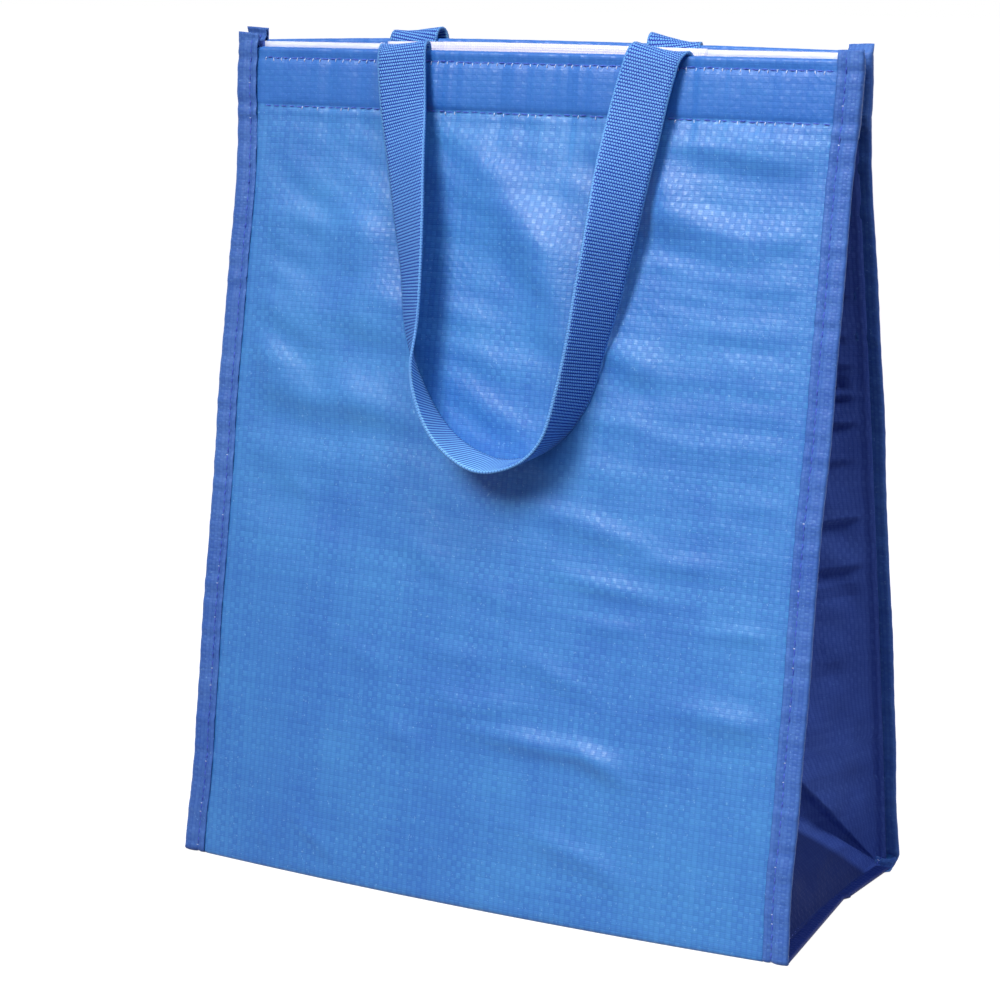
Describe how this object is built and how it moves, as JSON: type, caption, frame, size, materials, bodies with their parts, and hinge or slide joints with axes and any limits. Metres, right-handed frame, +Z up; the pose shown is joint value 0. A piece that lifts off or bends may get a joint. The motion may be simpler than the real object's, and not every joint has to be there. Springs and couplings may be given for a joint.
{
  "type": "insulated bag",
  "caption": "Tall insulated carrier bag of blue woven fabric with a flat base, folded side gussets, bound edges, a stitched hem, a pale foam lining and webbing handles.",
  "frame": {"origin": "on the floor, under the middle of the bag's base", "axes": "+Z up along the bag's height, -Y out of the front wall, +X to the right seen from the front"},
  "size_m": [0.38, 0.1672, 0.472],
  "materials": {
    "woven_fabric": "laminated tape weave, satin",
    "binding_tape": "soft folded tape, matt",
    "webbing": "ribbed woven webbing, matt",
    "foam_liner": "pale film on foam, satin",
    "fastening_tape": "short pile, matt"
  },
  "bodies": {
    "root": {"outer_panel": "woven_fabric", "gusset_left": "woven_fabric", "gusset_right": "woven_fabric", "liner_panel": "foam_liner", "liner_gusset_left": "foam_liner", "liner_gusset_right": "foam_liner", "binding_front_left": "binding_tape", "binding_front_right": "binding_tape", "binding_back_left": "binding_tape", "binding_back_right": "binding_tape", "handle_front": "webbing", "handle_back": "webbing", "fastening_strip_front": "fastening_tape", "fastening_strip_back": "fastening_tape"}
  },
  "joints": []
}
